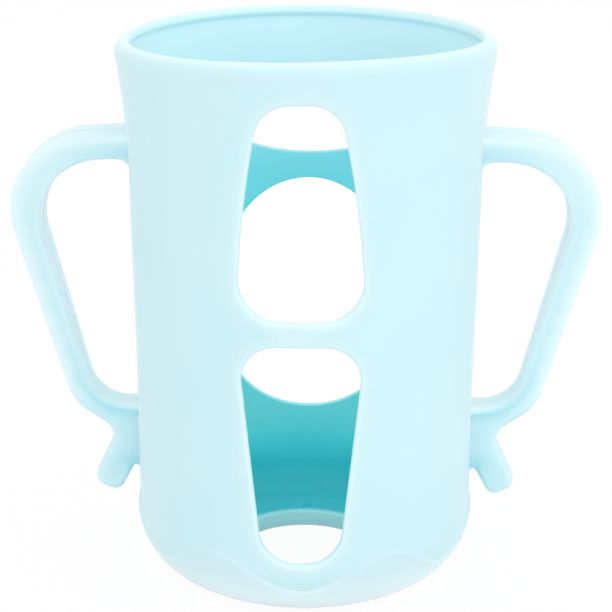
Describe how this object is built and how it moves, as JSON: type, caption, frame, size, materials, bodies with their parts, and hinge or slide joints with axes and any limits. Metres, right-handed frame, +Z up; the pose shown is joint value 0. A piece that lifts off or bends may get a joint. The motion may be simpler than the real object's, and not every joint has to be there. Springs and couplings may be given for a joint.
{
  "type": "feeding bottle sleeve",
  "caption": "Soft silicone sleeve that a feeding bottle is pushed into, with see-through windows, a loop handle and a free flexible tab on each side, and a holed floor.",
  "frame": {"origin": "centre of the base, on the plane it stands on", "axes": "+Z up along the sleeve's axis, +X towards the right handle, front windows towards -Y"},
  "size_m": [0.1224, 0.0782, 0.1173],
  "materials": {
    "sleeve_silicone": "satin",
    "base_silicone": "satin",
    "handle_silicone": "satin"
  },
  "bodies": {
    "sleeve": {"rim_bead": "sleeve_silicone", "sleeve_wall": "sleeve_silicone", "base_cup": "sleeve_silicone", "base_boot": "base_silicone", "floor_pips": "base_silicone", "right_handle": "handle_silicone", "left_handle": "handle_silicone"},
    "right_tab": {"right_tab": "handle_silicone"},
    "left_tab": {"left_tab": "handle_silicone"}
  },
  "joints": [
    {"name": "right_tab_flex", "type": "hinge", "parent": "sleeve", "child": "right_tab", "pos_m": [0.0398, 0, 0.0246], "axis": [0, -1, 0], "range_deg": [-18, 25], "stiffness_Nm_per_rad": 0.09},
    {"name": "left_tab_flex", "type": "hinge", "parent": "sleeve", "child": "left_tab", "pos_m": [-0.0398, 0, 0.0246], "axis": [0, 1, 0], "range_deg": [-18, 25], "stiffness_Nm_per_rad": 0.09}
  ]
}
